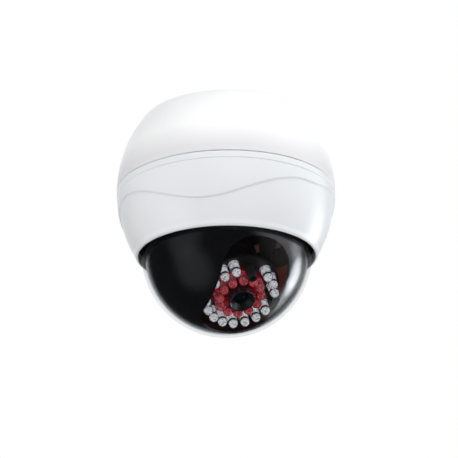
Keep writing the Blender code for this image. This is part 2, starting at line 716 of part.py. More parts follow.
def main():
    clear_scene()
    plate = make_mounting_plate()
    base = make_base()
    make_cable_entry(base, plate)
    make_main_board()
    make_base_seal()
    make_pan_frame()

    cover_axis = empty("cover_axis")
    cover, ledge_z = make_cover(cover_axis)
    make_bubble(cover_axis, cover, ledge_z)

    pan_axis = empty("pan_axis")
    table = make_turntable(pan_axis)
    for side, name in ((-1, "left"), (1, "right")):
        make_yoke(side, name, table, pan_axis)
    make_shroud(pan_axis)

    # The tilt axis turns a piece made along +Z so that it looks down the lens axis.
    tilt_axis = empty("tilt_axis", (0, 0, PIVOT_Z), math.radians(90 + REST_DEG), pan_axis)
    make_cradle(tilt_axis)
    roll_axis = empty("roll_axis", parent=tilt_axis)
    can = make_can(roll_axis)
    make_sensor(roll_axis)
    make_lens(roll_axis)
    make_lamp_board(roll_axis, can)
    make_outer_lamps(roll_axis)
    make_inner_lamps(roll_axis)
    make_light_sensor(roll_axis)


main()
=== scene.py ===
"""The looks of the ceiling dome camera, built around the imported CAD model.

Lengths are in metres, in the CAD model's own frame: the origin is the centre of the ceiling face,
+Z points up, and the liner's slot faces -Y.
"""

import json
import math

import bmesh
import bpy
from mathutils import Matrix, Vector


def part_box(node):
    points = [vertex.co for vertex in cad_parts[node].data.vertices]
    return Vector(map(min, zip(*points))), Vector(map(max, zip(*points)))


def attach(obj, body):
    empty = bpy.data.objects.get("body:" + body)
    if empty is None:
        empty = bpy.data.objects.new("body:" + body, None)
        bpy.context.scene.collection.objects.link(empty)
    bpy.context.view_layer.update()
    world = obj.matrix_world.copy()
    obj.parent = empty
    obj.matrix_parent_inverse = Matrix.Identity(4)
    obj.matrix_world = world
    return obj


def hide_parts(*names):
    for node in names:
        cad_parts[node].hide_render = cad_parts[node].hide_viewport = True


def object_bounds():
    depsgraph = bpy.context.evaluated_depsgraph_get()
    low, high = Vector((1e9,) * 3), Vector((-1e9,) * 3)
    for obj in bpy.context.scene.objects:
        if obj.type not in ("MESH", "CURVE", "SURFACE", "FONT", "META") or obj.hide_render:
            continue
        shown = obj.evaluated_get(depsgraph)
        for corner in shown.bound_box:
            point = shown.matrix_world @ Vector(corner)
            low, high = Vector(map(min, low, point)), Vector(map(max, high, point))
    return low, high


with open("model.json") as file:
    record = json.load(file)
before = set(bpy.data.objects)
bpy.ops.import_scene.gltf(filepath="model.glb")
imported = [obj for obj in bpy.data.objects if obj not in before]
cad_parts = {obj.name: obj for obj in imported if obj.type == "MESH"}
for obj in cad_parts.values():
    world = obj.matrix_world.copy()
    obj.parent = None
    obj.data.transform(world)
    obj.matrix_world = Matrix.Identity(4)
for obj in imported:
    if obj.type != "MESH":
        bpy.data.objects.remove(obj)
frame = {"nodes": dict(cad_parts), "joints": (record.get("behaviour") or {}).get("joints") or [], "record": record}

MM = 0.001
CAD_LOW, CAD_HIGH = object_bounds()
JOINTS = {joint["name"]: joint for joint in frame["joints"]}

# ------------------------------------------------------------------ sizes, from the frame

BODY_RADIUS = CAD_HIGH.x
JOINT_Z = JOINTS["cover_twist"]["pos_m"][2]
BASE_SEMI_AXIS = 59.0 * MM
COVER_SEMI_AXIS = 60.0 * MM
LIP_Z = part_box("trim_cover")[0].z
WALL = 2.3 * MM
DOME_RADIUS = 42.5 * MM
DOME_WALL = 1.3 * MM
BALL_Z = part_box("clear_dome")[0].z + DOME_RADIUS
SHROUD_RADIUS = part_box("shroud")[1].x
SHROUD_WALL = 1.0 * MM
SLOT_HALF_WIDTH = 17.5 * MM
SLOT_TOP_DEG = 7.5
SLOT_END_DEG = 98.0
SLOT_CORNER_POWER = 2.3

PIVOT = Vector(JOINTS["lens_roll"]["pos_m"])
LENS_AXIS = Vector(JOINTS["lens_roll"]["axis"]).normalized()
LAMP_BOARD_RADIUS = 20.8 * MM
LAMP_BOARD_BACK = 21.6 * MM
LAMP_BOARD_FRONT = 23.2 * MM
LAMP_BASE = LAMP_BOARD_FRONT + 0.3 * MM
LAMP_TIP = 31.7 * MM
LAMP_RADIUS = 2.4 * MM
LAMP_FLANGE = 2.75 * MM
INNER_LAMP_BASE = LAMP_BASE + 0.4 * MM
INNER_LAMP_TIP = LAMP_TIP - 0.3 * MM
OUTER_RING = 17.0 * MM
# Round the outer ring, the light sensor's place and the two screws' places stay free
OUTER_LAMPS_DEG = [degrees for degrees in range(30, 340, 20) if degrees not in (90, 270)]
INNER_RING = 10.4 * MM
INNER_COUNT = 12
LENS_TIP = 32.4 * MM
BOARD_BORE = 1.25 * MM

BOSS_RING = 28 * MM
BOSSES_DEG = (30, 150, 270)
CABLE_PLACE = (0, 21 * MM)
CABLE_RADIUS = 6 * MM
BAYONETS_DEG = (60, 180, 300)
BAYONET_WIDTH_DEG = 26

# The camera's place, about the centre of the joint between base and cover
VIEW_AZIMUTH_DEG = -26.4
VIEW_ELEVATION_DEG = -21.3
VIEW_DISTANCE = 0.880
VIEW_SIDE = 1.3 * MM
VIEW_DROP = 19.1 * MM
VIEW_ROLL_DEG = -0.64
VIEW_LENS_MM = 138.2
ROOM_LIGHT = 0.03

# The room's soft bright areas, which light the part and show in its shiny pieces: degrees round
# from the camera, degrees up, the bright middle's and the outer edge's half widths, and strength
SOFT_SOURCES = (
    (125, -6, 5, 17, 6.5),
    (133, -24, 4, 22, 2.3),
    (112, 12, 3, 17, 1.6),
    (76, 10, 8, 42, 0.80),
    (180, 24, 16, 44, 0.95),
    (-60, 10, 4, 34, 0.17),
    (-58, -32, 4, 36, 0.18),
    (0, 80, 10, 45, 0.4),
)

FILL_DISTANCE = 1.6
FILL_SIZE = 1.0
# The soft fill lights, which show in no reflection: degrees round from the camera, degrees up, watts
FILLS = (
    (110, -30, 8.0), (65, 50, 9.5), (-65, -30, 10.0), (-20, 50, 9.0), (-110, 10, 8.5),
    (20, -30, 7.2), (20, 10, 6.8), (-10, -44, 5.5), (110, 10, 0.5), (-110, -30, 3.5),
)
FLOOR_Z = -1.2
FLOOR_SIZE = 40


# ------------------------------------------------------------------ camera, lights, stage

def make_camera():
    azimuth, elevation = math.radians(VIEW_AZIMUTH_DEG), math.radians(VIEW_ELEVATION_DEG)
    forward = Vector((0, math.cos(elevation), -math.sin(elevation)))
    up = Vector((0, math.sin(elevation), math.cos(elevation)))
    right = Vector((1, 0, 0))
    roll = math.radians(VIEW_ROLL_DEG)
    right, up = (
        math.cos(roll) * right + math.sin(roll) * up,
        -math.sin(roll) * right + math.cos(roll) * up,
    )
    turn = Matrix.Rotation(azimuth, 4, "Z")
    place = Vector((VIEW_SIDE, 0, -VIEW_DROP)) - VIEW_DISTANCE * forward
    pose = Matrix((right, up, -forward)).transposed().to_4x4()
    pose.translation = place
    camera = bpy.data.objects.new("camera", bpy.data.cameras.new("camera"))
    camera.matrix_world = Matrix.Translation((0, 0, JOINT_Z)) @ turn @ pose
    camera.data.lens = VIEW_LENS_MM
    camera.data.sensor_width = 36.0
    camera.data.clip_start = 0.01
    bpy.context.collection.objects.link(camera)
    bpy.context.scene.camera = camera


def view_direction(azimuth_deg, elevation_deg):
    """The direction from the part towards a place beside the camera, measured from the camera."""
    azimuth = math.radians(VIEW_AZIMUTH_DEG + azimuth_deg)
    elevation = math.radians(elevation_deg)
    return Vector((
        math.sin(azimuth) * math.cos(elevation),
        -math.cos(azimuth) * math.cos(elevation),
        math.sin(elevation),
    ))


def fill_light(azimuth, elevation, power):
    """A large square light that faces the bubble and shows in nothing."""
    name = f"fill_{azimuth}_{elevation}"
    light = bpy.data.lights.new(name, "AREA")
    light.shape = "RECTANGLE"
    light.size = light.size_y = FILL_SIZE
    light.energy = power
    lamp = bpy.data.objects.new(name, light)
    target = Vector((0, 0, BALL_Z))
    direction = view_direction(azimuth, elevation)
    lamp.location = target + FILL_DISTANCE * direction
    lamp.rotation_mode = "QUATERNION"
    lamp.rotation_quaternion = direction.to_track_quat("Z", "Y")
    lamp.visible_camera = False
    lamp.visible_transmission = False
    lamp.visible_glossy = False
    bpy.context.collection.objects.link(lamp)


def soft_sources(tree):
    """The room's strength in each direction: dim, with soft-edged bright areas round about."""
    sky = tree.nodes.new("ShaderNodeTexCoord").outputs["Generated"]
    total = None
    for azimuth, elevation, inner_deg, outer_deg, strength in SOFT_SOURCES:
        facing = tree.nodes.new("ShaderNodeVectorMath")
        facing.operation = "DOT_PRODUCT"
        facing.inputs[1].default_value = view_direction(azimuth, elevation)
        falloff = tree.nodes.new("ShaderNodeMapRange")
        falloff.interpolation_type = "SMOOTHSTEP"
        falloff.inputs["From Min"].default_value = math.cos(math.radians(outer_deg))
        falloff.inputs["From Max"].default_value = math.cos(math.radians(inner_deg))
        falloff.inputs["To Max"].default_value = strength
        tree.links.new(sky, facing.inputs[0])
        tree.links.new(facing.outputs["Value"], falloff.inputs["Value"])
        plus = tree.nodes.new("ShaderNodeMath")
        tree.links.new(falloff.outputs["Result"], plus.inputs[0])
        if total is None:
            plus.inputs[1].default_value = ROOM_LIGHT
        else:
            tree.links.new(total, plus.inputs[1])
        total = plus.outputs[0]
    return total


def make_room():
    """White where the camera looks past the part or through its clear pieces, and the dim room
    with its soft bright areas for every ray that has bounced."""
    world = bpy.data.worlds.new("studio")
    bpy.context.scene.world = world
    world.use_nodes = True
    tree = world.node_tree
    tree.nodes.clear()
    out = tree.nodes.new("ShaderNodeOutputWorld")
    path = tree.nodes.new("ShaderNodeLightPath")
    # The ray's bounces, without its passes through clear pieces
    bounces = tree.nodes.new("ShaderNodeMath")
    bounces.operation = "SUBTRACT"
    straight = tree.nodes.new("ShaderNodeMath")
    straight.operation = "LESS_THAN"
    straight.inputs[1].default_value = 1.5
    seen = tree.nodes.new("ShaderNodeMath")
    seen.operation = "MULTIPLY_ADD"
    seen.use_clamp = True
    room = tree.nodes.new("ShaderNodeBackground")
    room.inputs["Color"].default_value = (0.96, 0.98, 1.0, 1)
    backdrop = tree.nodes.new("ShaderNodeBackground")
    backdrop.inputs["Color"].default_value = (1, 1, 1, 1)
    mix = tree.nodes.new("ShaderNodeMixShader")
    link = tree.links.new
    link(path.outputs["Ray Depth"], bounces.inputs[0])
    link(path.outputs["Transmission Depth"], bounces.inputs[1])
    link(bounces.outputs[0], straight.inputs[0])
    link(straight.outputs[0], seen.inputs[0])
    link(path.outputs["Is Transmission Ray"], seen.inputs[1])
    link(path.outputs["Is Camera Ray"], seen.inputs[2])
    link(seen.outputs[0], mix.inputs["Fac"])
    link(soft_sources(tree), room.inputs["Strength"])
    link(room.outputs[0], mix.inputs[1])
    link(backdrop.outputs[0], mix.inputs[2])
    link(mix.outputs[0], out.inputs["Surface"])


def make_studio():
    bpy.context.scene.view_settings.view_transform = "Standard"
    make_room()
    for azimuth, elevation, power in FILLS:
        fill_light(azimuth, elevation, power)
    bpy.ops.mesh.primitive_plane_add(size=FLOOR_SIZE, location=(0, 0, FLOOR_Z))
    floor = bpy.context.object
    floor.name = "studio_floor"
    floor.data.materials.append(pale_floor())
    floor.visible_diffuse = False
    floor.visible_glossy = False
    floor.visible_transmission = False


# ------------------------------------------------------------------ materials

class Look:
    """A Principled material with a few short ways to add procedural detail."""

    def __init__(self, name, colour, roughness, metallic=0.0, **settings):
        self.material = bpy.data.materials.new(name)
        self.material.use_nodes = True
        self.tree = self.material.node_tree
        self.shader = self.tree.nodes["Principled BSDF"]
        self.shader.inputs["Base Color"].default_value = (*colour, 1)
        self.shader.inputs["Roughness"].default_value = roughness
        self.shader.inputs["Metallic"].default_value = metallic
        self.colour = colour
        self.roughness = roughness
        for key, value in settings.items():
            self.shader.inputs[key.replace("_", " ")].default_value = value

    def node(self, kind, **inputs):
        """A node with these input values, where _ stands for a space."""
        made = self.tree.nodes.new(kind)
        for key, value in inputs.items():
            made.inputs[key.replace("_", " ")].default_value = value
        return made

    def link(self, source, target):
        self.tree.links.new(source, target)

    def place(self):
        """Coordinates fixed to the piece, in metres."""
        return self.node("ShaderNodeTexCoord").outputs["Object"]

    def noise(self, scale, detail=4.0, stretch=None):
        made = self.node("ShaderNodeTexNoise", Scale=scale, Detail=detail)
        place = self.place()
        if stretch:
            mapping = self.node("ShaderNodeMapping")
            mapping.inputs["Scale"].default_value = stretch
            self.link(place, mapping.inputs["Vector"])
            place = mapping.outputs["Vector"]
        self.link(place, made.inputs["Vector"])
        return made.outputs["Fac"]

    def tint(self, factor, other, low=0.35, high=0.65):
        """Mixes the colour towards another, where factor is high."""
        ramp = self.node("ShaderNodeMapRange", From_Min=low, From_Max=high)
        self.link(factor, ramp.inputs["Value"])
        mix = self.tree.nodes.new("ShaderNodeMix")
        mix.data_type = "RGBA"
        self.link(ramp.outputs["Result"], mix.inputs["Factor"])
        colour = self.shader.inputs["Base Color"]
        if colour.is_linked:
            self.link(colour.links[0].from_socket, mix.inputs[6])
        else:
            mix.inputs[6].default_value = (*self.colour, 1)
        mix.inputs[7].default_value = (*other, 1)
        self.link(mix.outputs[2], colour)

    def glow(self, factor, colour, low, high):
        """A faint light given off where factor is high."""
        ramp = self.node("ShaderNodeMapRange", From_Min=low, From_Max=high)
        self.link(factor, ramp.inputs["Value"])
        self.link(ramp.outputs["Result"], self.shader.inputs["Emission Strength"])
        self.shader.inputs["Emission Color"].default_value = (*colour, 1)

    def vary_roughness(self, factor, spread):
        ramp = self.node(
            "ShaderNodeMapRange",
            From_Min=0.3,
            From_Max=0.7,
            To_Min=max(self.roughness - spread, 0.0),
            To_Max=self.roughness + spread,
        )
        self.link(factor, ramp.inputs["Value"])
        self.link(ramp.outputs["Result"], self.shader.inputs["Roughness"])

    def bump(self, factor, distance, strength=1.0):
        made = self.node("ShaderNodeBump", Strength=strength, Distance=distance)
        self.link(factor, made.inputs["Height"])
        target = self.shader.inputs["Normal"]
        if target.is_linked:
            self.link(target.links[0].from_socket, made.inputs["Normal"])
        self.link(made.outputs["Normal"], target)

    def lets_light_through(self, tint=(1, 1, 1)):
        """Lamps shine through the clear piece onto what is inside it."""
        out = self.tree.nodes["Material Output"]
        path = self.tree.nodes.new("ShaderNodeLightPath")
        clear = self.node("ShaderNodeBsdfTransparent", Color=(*tint, 1))
        mix = self.tree.nodes.new("ShaderNodeMixShader")
        self.link(path.outputs["Is Shadow Ray"], mix.inputs["Fac"])
        self.link(self.shader.outputs[0], mix.inputs[1])
        self.link(clear.outputs[0], mix.inputs[2])
        self.link(mix.outputs[0], out.inputs["Surface"])


def pale_floor():
    made = Look("pale_floor", (0.86, 0.86, 0.86), 0.7)
    made.shader.inputs["Emission Color"].default_value = (1, 1, 1, 1)
    made.shader.inputs["Emission Strength"].default_value = 0.66
    made.vary_roughness(made.noise(3.0), 0.1)
    return made.material


def white_plastic(name):
    """Satin moulded ABS with a very fine texture and faint flow marks."""
    made = Look(name, (0.80, 0.815, 0.835), 0.33)
    made.tint(made.noise(28, 3), (0.785, 0.80, 0.82), 0.3, 0.75)
    made.vary_roughness(made.noise(150, 2), 0.03)
    made.bump(made.noise(1500, 1), 0.0015 * MM, 0.3)
    return made.material


def base_white():
    """The base's plastic, a little warmer than the cover's, with painted shade that greys it near the joint and
    painted light that pales it towards the ceiling.
    """
    # Painted shade: the base colour is greyer than the cover's, standing in for the shade near the joint.
    made = Look("base_white", (0.76, 0.75, 0.765), 0.36)
    height = made.node("ShaderNodeSeparateXYZ")
    made.link(made.place(), height.inputs[0])
    # Painted light: the colour pales with height towards the ceiling, standing in for the light that falls there.
    made.tint(height.outputs["Z"], (0.97, 0.97, 0.975), JOINT_Z + 3 * MM, JOINT_Z + 17 * MM)
    made.tint(made.noise(28, 3), (0.80, 0.80, 0.81), 0.45, 1.6)
    made.vary_roughness(made.noise(150, 2), 0.03)
    made.bump(made.noise(1500, 1), 0.0015 * MM, 0.3)
    return made.material


def clear_plastic(name):
    """Polished polycarbonate with fine wipe marks of handling, and a grey tint of painted shade that stands in for
    the darkening its refraction would give.
    """
    # Painted shade: the grey transmission tint darkens everything seen through the bubble, because IOR 1.0 bends
    # no ray.
    made = Look(name, (0.80, 0.81, 0.825), 0.0, Transmission_Weight=1.0, IOR=1.0)
    for key, value in (("Coat Weight", 0.2), ("Coat Roughness", 0.02), ("Coat IOR", 1.5)):
        made.shader.inputs[key].default_value = value
    made.bump(made.noise(140, 2, (1, 1, 6)), 0.001 * MM, 0.2)
    made.lets_light_through((0.96, 0.965, 0.97))
    return made.material


def black_gloss(name, roughness=0.12):
    made = Look(name, (0.006, 0.006, 0.008), roughness, Coat_Weight=0.4, Coat_Roughness=0.05)
    made.tint(made.noise(90, 3), (0.010, 0.010, 0.013))
    made.vary_roughness(made.noise(420, 3), 0.03)
    made.bump(made.noise(70, 2), 0.01 * MM, 0.3)
    return made.material


def black_matte(name, colour=(0.014, 0.014, 0.016), roughness=0.5):
    made = Look(name, colour, roughness)
    made.tint(made.noise(200, 3), tuple(2.0 * c for c in colour))
    made.vary_roughness(made.noise(700, 2), 0.08)
    made.bump(made.noise(3600, 2), 0.012 * MM, 0.6)
    return made.material


def rubber(name):
    made = Look(name, (0.018, 0.018, 0.018), 0.72)
    made.tint(made.noise(300, 4), (0.035, 0.035, 0.035))
    made.bump(made.noise(2600, 3), 0.02 * MM, 0.7)
    return made.material


def zinc_steel(name):
    made = Look(name, (0.62, 0.63, 0.66), 0.28, 1.0)
    made.tint(made.noise(240, 5), (0.50, 0.51, 0.52))
    made.vary_roughness(made.noise(1800, 3, (1, 1, 8)), 0.10)
    made.bump(made.noise(2400, 2, (1, 9, 1)), 0.006 * MM, 0.5)
    return made.material


def board(name, mask, trace):
    """Solder mask over a grid of copper tracks."""
    made = Look(name, mask, 0.32, Coat_Weight=0.3, Coat_Roughness=0.2)
    cells = made.node("ShaderNodeTexBrick", Scale=320.0, Mortar_Size=0.09)
    made.link(made.place(), cells.inputs["Vector"])
    made.tint(cells.outputs["Fac"], trace, 0.4, 0.6)
    made.tint(made.noise(500, 3), tuple(1.5 * c for c in mask), 0.5, 0.8)
    made.bump(cells.outputs["Fac"], 0.03 * MM, 0.5)
    return made.material


def nylon(name):
    made = Look(name, (0.74, 0.71, 0.62), 0.45)
    made.tint(made.noise(260, 3), (0.68, 0.65, 0.56))
    made.bump(made.noise(2200, 2), 0.01 * MM, 0.5)
    return made.material


def brass(name):
    made = Look(name, (0.78, 0.58, 0.28), 0.28, 1.0)
    made.tint(made.noise(420, 4), (0.62, 0.44, 0.20))
    made.bump(made.noise(3000, 2, (1, 1, 12)), 0.01 * MM, 0.6)
    return made.material


def lamp_epoxy(name):
    made = Look(name, (1.0, 1.0, 1.0), 0.02, Transmission_Weight=1.0, IOR=1.42)
    made.bump(made.noise(700, 3), 0.02 * MM, 0.4)
    made.lets_light_through()
    return made.material


def lens_glass(name):
    """Coated glass: nearly black, with the blue-violet cast of an anti-reflection coat."""
    made = Look(name, (0.004, 0.005, 0.010), 0.03, Coat_Weight=1.0, Coat_Roughness=0.01)
    made.shader.inputs["Coat Tint"].default_value = (0.7, 0.8, 1.0, 1)
    made.tint(made.noise(160, 2), (0.008, 0.006, 0.016))
    made.bump(made.noise(200, 1), 0.004 * MM, 0.2)
    return made.material


SLOT_LOOKS = {
    "white_plastic": white_plastic,
    "black_gloss": black_gloss,
    "black_matte": black_matte,
    "rubber": rubber,
    "zinc_steel": zinc_steel,
    "green_board": lambda name: board(name, (0.012, 0.075, 0.03), (0.03, 0.15, 0.06)),
    "black_board": lambda name: board(name, (0.010, 0.010, 0.011), (0.022, 0.021, 0.020)),
    "nylon": nylon,
    "brass": brass,
    "clear_plastic": clear_plastic,
    "lamp_epoxy": lamp_epoxy,
    "lens_glass": lens_glass,
    "sensor_die": lambda name: black_gloss(name, 0.06),
}
made_looks = {}


def look_for(slot):
    if slot not in made_looks:
        made_looks[slot] = SLOT_LOOKS[slot](f"{slot}_look")
    return made_looks[slot]


# ------------------------------------------------------------------ mesh tools

def spread(first, last, count):
    """Evenly spaced values from first to last."""
    return [first + (last - first) * k / (count - 1) for k in range(count)]


def rounded(points, radius, closed=False, steps=4):
    """The outline with each corner turned into a small curve. Ends on the axis stay."""
    count = len(points)
    result = []
    for k, point in enumerate(points):
        if not closed and k in (0, count - 1):
            result.append(point)
            continue
        here = Vector(point)
        before, after = Vector(points[k - 1]), Vector(points[(k + 1) % count])
        to_before, to_after = before - here, after - here
        if to_before.length * to_after.length == 0:
            continue
        if to_before.angle(to_after, 0) > math.radians(160):
            result.append(point)
            continue
        start = here + to_before.normalized() * min(radius, 0.45 * to_before.length)
        end = here + to_after.normalized() * min(radius, 0.45 * to_after.length)
        for t in spread(0, 1, steps + 1):
            mid = (1 - t) ** 2 * start + 2 * t * (1 - t) * here + t ** 2 * end
            result.append(tuple(mid))
    return result


def spun(shape, outline, sides, ring, centre=(0, 0)):
    """Adds the outline of (radius, z) points, turned about an upright axis through the centre."""
    across, along = centre
    points = [shape.verts.new((across + radius, along, z)) for radius, z in outline]
    edges = [shape.edges.new(pair) for pair in zip(points, points[1:])]
    if ring:
        edges.append(shape.edges.new((points[-1], points[0])))
    bmesh.ops.spin(
        shape,
        geom=points + edges,
        cent=(across, along, 0),
        axis=(0, 0, 1),
        angle=2 * math.pi,
        steps=sides,
        use_duplicate=False,
    )
    bmesh.ops.remove_doubles(shape, verts=shape.verts, dist=0.001 * MM)


def new_object(name, shape, sharp_deg=32):
    bmesh.ops.recalc_face_normals(shape, faces=shape.faces)
    mesh = bpy.data.meshes.new(name)
    shape.to_mesh(mesh)
    shape.free()
    mesh.shade_smooth()
    mesh.set_sharp_from_angle(angle=math.radians(sharp_deg))
    made = bpy.data.objects.new(name, mesh)
    bpy.context.collection.objects.link(made)
    return made


def turned(name, outline, sides=96, ring=False, centre=(0, 0), corner=0.0):
    if corner:
        outline = rounded(outline, corner, ring)
    shape = bmesh.new()
    spun(shape, outline, sides, ring, centre)
    return new_object(name, shape)


def rod(name, radius, low, high, sides=24, centre=(0, 0), corner=0.0):
    outline = [(0, high), (radius, high), (radius, low), (0, low)]
    return turned(name, outline, sides, centre=centre, corner=corner)


def combine(target, helper, operation):
    """Applies a Boolean and removes the helper."""
    change = target.modifiers.new("combine", "BOOLEAN")
    change.operation = operation
    change.solver = "EXACT"
    change.object = helper
    apply_modifiers(target)
    bpy.data.objects.remove(helper, do_unlink=True)


def apply_modifiers(piece):
    graph = bpy.context.evaluated_depsgraph_get()
    graph.update()
    mesh = bpy.data.meshes.new_from_object(piece.evaluated_get(graph))
    piece.modifiers.clear()
    piece.data = mesh


def cut(target, helper):
    combine(target, helper, "DIFFERENCE")


def add(target, helper):
    combine(target, helper, "UNION")


def module_matrix():
    """Places a piece made along +Z so that it looks down the lens axis from the pivot."""
    side = Vector((1, 0, 0))
    up = LENS_AXIS.cross(side)
    turn = Matrix((side, up, LENS_AXIS)).transposed().to_4x4()
    return Matrix.Translation(PIVOT) @ turn


def settle(piece, body, slot, replaces=None, material=None, in_module=False):
    """Gives a finished piece its material, its body and the CAD node that it stands for."""
    if in_module:
        piece.data.transform(module_matrix())
    piece.data.materials.clear()
    piece.data.materials.append(material or look_for(slot))
    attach(piece, body)
    if replaces:
        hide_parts(replaces)
    return piece


def on_ring(radius, degrees):
    """A place on the body, in degrees round from +X."""
    angle = math.radians(degrees)
    return radius * math.cos(angle), radius * math.sin(angle)


def lamp_place(radius, degrees):
    """A place on the camera module, in degrees round from its top."""
    angle = math.radians(degrees)
    return radius * math.sin(angle), radius * math.cos(angle)


def body_radius(z, semi_axis):
    """The body's outer radius: half an ellipse above the joint and half below."""
    return BODY_RADIUS * math.sqrt(1 - ((z - JOINT_Z) / semi_axis) ** 2)


def ball_arc(radius, first_deg, last_deg, count):
    """Outline points round the bubble's centre, in degrees below its level."""
    angles = [math.radians(a) for a in spread(first_deg, last_deg, count + 1)]
    return [(radius * math.cos(a), BALL_Z - radius * math.sin(a)) for a in angles]


def skin(shape, sections):
    """Joins four-cornered sections into one closed tube."""
    for one, two in zip(sections, sections[1:]):
        for k in range(4):
            shape.faces.new((one[k], one[(k + 1) % 4], two[(k + 1) % 4], two[k]))
    shape.faces.new(sections[0])
    shape.faces.new(sections[-1])


# ------------------------------------------------------------------ white body

def arc_block(inner, outer, low, high, middle_deg, steps=12):
    """A bayonet's block, bent round the body."""
    shape = bmesh.new()
    sections = []
    for step in range(steps + 1):
        angle = math.radians(middle_deg + BAYONET_WIDTH_DEG * (step / steps - 0.5))
        across, along = math.cos(angle), math.sin(angle)
        corners = [(inner, low), (outer, low), (outer, high), (inner, high)]
        sections.append([shape.verts.new((r * across, r * along, z)) for r, z in corners])
    skin(shape, sections)
    return new_object("arc_block", shape)


def make_base():
    recess_radius, recess_z, ceiling_z = 36.3 * MM, -2.3 * MM, -5.2 * MM
    rim_z = JOINT_Z + 0.1 * MM
    spigot = [(50.3 * MM, rim_z), (50.3 * MM, JOINT_Z - 6 * MM), (48.3 * MM, JOINT_Z - 6 * MM),
              (48.3 * MM, rim_z + 2 * MM)]
    outline = [(0, recess_z), (recess_radius, recess_z), (recess_radius, 0), (41.6 * MM, 0)]
    outline += [(body_radius(z, BASE_SEMI_AXIS), z) for z in spread(-0.8 * MM, rim_z + 0.6 * MM, 30)]
    outline += [(BODY_RADIUS - 0.05 * MM, rim_z + 0.15 * MM), (BODY_RADIUS - 0.4 * MM, rim_z)]
    outline += spigot
    outline += [(body_radius(z, BASE_SEMI_AXIS) - WALL, z)
                for z in spread(JOINT_Z + 6 * MM, ceiling_z, 12)]
    outline += [(0, ceiling_z)]
    base = turned("base_shell", outline, 192, corner=0.25 * MM)
    for degrees in (90, 210, 330):
        centre = on_ring(40 * MM, degrees)
        add(base, rod("post", 3.4 * MM, -50.3 * MM, ceiling_z + 1 * MM, centre=centre))
        cut(base, rod("bore", 1.5 * MM, -52 * MM, -43.3 * MM, centre=centre))
    for degrees in BOSSES_DEG:
        centre = on_ring(BOSS_RING, degrees)
        add(base, rod("boss", 2.8 * MM, -12.1 * MM, ceiling_z + 1 * MM, centre=centre))
        cut(base, rod("bore", 1.2 * MM, -13 * MM, -7.1 * MM, centre=centre))
    for degrees in BAYONETS_DEG:
        low = JOINT_Z - 5.6 * MM
        add(base, arc_block(48.9 * MM, 52.0 * MM, low, low + 1.5 * MM, degrees))
    cut(base, rod("cable_hole", CABLE_RADIUS, -8 * MM, 1 * MM, 48, CABLE_PLACE))
    base.data.set_sharp_from_angle(angle=math.radians(32))
    settle(base, "base", "white_plastic", "base_housing", base_white())


# Where the wavy step turns: degrees round from the slot, and mm below the joint.
WAVE_TURNS = ((-150, 19.5), (-92, 9.9), (-38, 22.1), (20, 8.8), (46, 6.2), (120, 20.5))


def smoothstep(value):
    value = min(max(value, 0.0), 1.0)
    return value * value * (3 - 2 * value)


def wave_z(degrees):
    """The height of the wavy step at an angle round the cover, eased from turn to turn."""
    start = WAVE_TURNS[0][0]
    degrees = start + (degrees - start) % 360
    turns = WAVE_TURNS + ((start + 360, WAVE_TURNS[0][1]),)
    k = max(i for i in range(len(WAVE_TURNS)) if turns[i][0] <= degrees)
    (first, high), (last, low) = turns[k], turns[k + 1]
    return JOINT_Z - (high + (low - high) * smoothstep((degrees - first) / (last - first))) * MM


def make_cover():
    """The turned cover, with the skin below the wave line let in by the band's height."""
    band, edge, crease = 0.60 * MM, 0.6 * MM, 0.30 * MM
    top_z, ledge_z = JOINT_Z - 0.2 * MM, LIP_Z + 5 * MM
    groove_z, groove = JOINT_Z - 3.6 * MM, 0.5 * MM
    outer = [(BODY_RADIUS - 0.5 * MM, top_z), (BODY_RADIUS - 0.1 * MM, top_z - 0.15 * MM)]
    outer += [(body_radius(z, COVER_SEMI_AXIS), z)
              for z in spread(top_z - 0.5 * MM, groove_z + 0.3 * MM, 8)]
    outer += [(body_radius(groove_z, COVER_SEMI_AXIS) - groove, groove_z)]
    outer += [(body_radius(z, COVER_SEMI_AXIS), z)
              for z in spread(groove_z - 0.3 * MM, LIP_Z + 0.9 * MM, 140)]
    lip = [(44.6 * MM, LIP_Z + 0.08 * MM), (44.2 * MM, LIP_Z), (43.9 * MM, LIP_Z + 0.2 * MM),
           (43.75 * MM, LIP_Z + 0.6 * MM), (43.75 * MM, ledge_z)]
    inner = [(46.2 * MM, ledge_z)]
    inner += [(min(body_radius(z, COVER_SEMI_AXIS) - WALL, 52.4 * MM), z)
              for z in spread(ledge_z + 2 * MM, JOINT_Z - 6.5 * MM, 8)]
    inner += [(52.4 * MM, top_z)]
    shape = bmesh.new()
    spun(shape, outer + lip + inner, 360, True)
    # Only the outer skin between the lip and the groove moves
    for vert in shape.verts:
        radius = math.hypot(vert.co.x, vert.co.y)
        if radius < body_radius(vert.co.z, COVER_SEMI_AXIS) - 0.6 * MM or vert.co.z > groove_z:
            continue
        degrees = math.degrees(math.atan2(vert.co.x, -vert.co.y))
        below = (wave_z(degrees) - vert.co.z) / edge + 0.5
        fade = smoothstep((vert.co.z - LIP_Z) / (3 * MM))
        depth = band * smoothstep(below) + crease * math.exp(-((below - 0.8) / 0.45) ** 2)
        scale = 1 - depth * fade / radius
        vert.co.x *= scale
        vert.co.y *= scale
    cover = new_object("cover_shell", shape)
    for degrees in BAYONETS_DEG:
        low = JOINT_Z - 3.7 * MM
        add(cover, arc_block(50.85 * MM, 53.2 * MM, low, low + 1.4 * MM, degrees))
    for degrees in (0, 120, 240):
        centre = on_ring(44.9 * MM, degrees)
        cut(cover, rod("bore", 0.85 * MM, ledge_z - 3 * MM, ledge_z + 5 * MM, 16, centre))
    cover.data.set_sharp_from_angle(angle=math.radians(40))
    settle(cover, "cover", "white_plastic", "trim_cover")


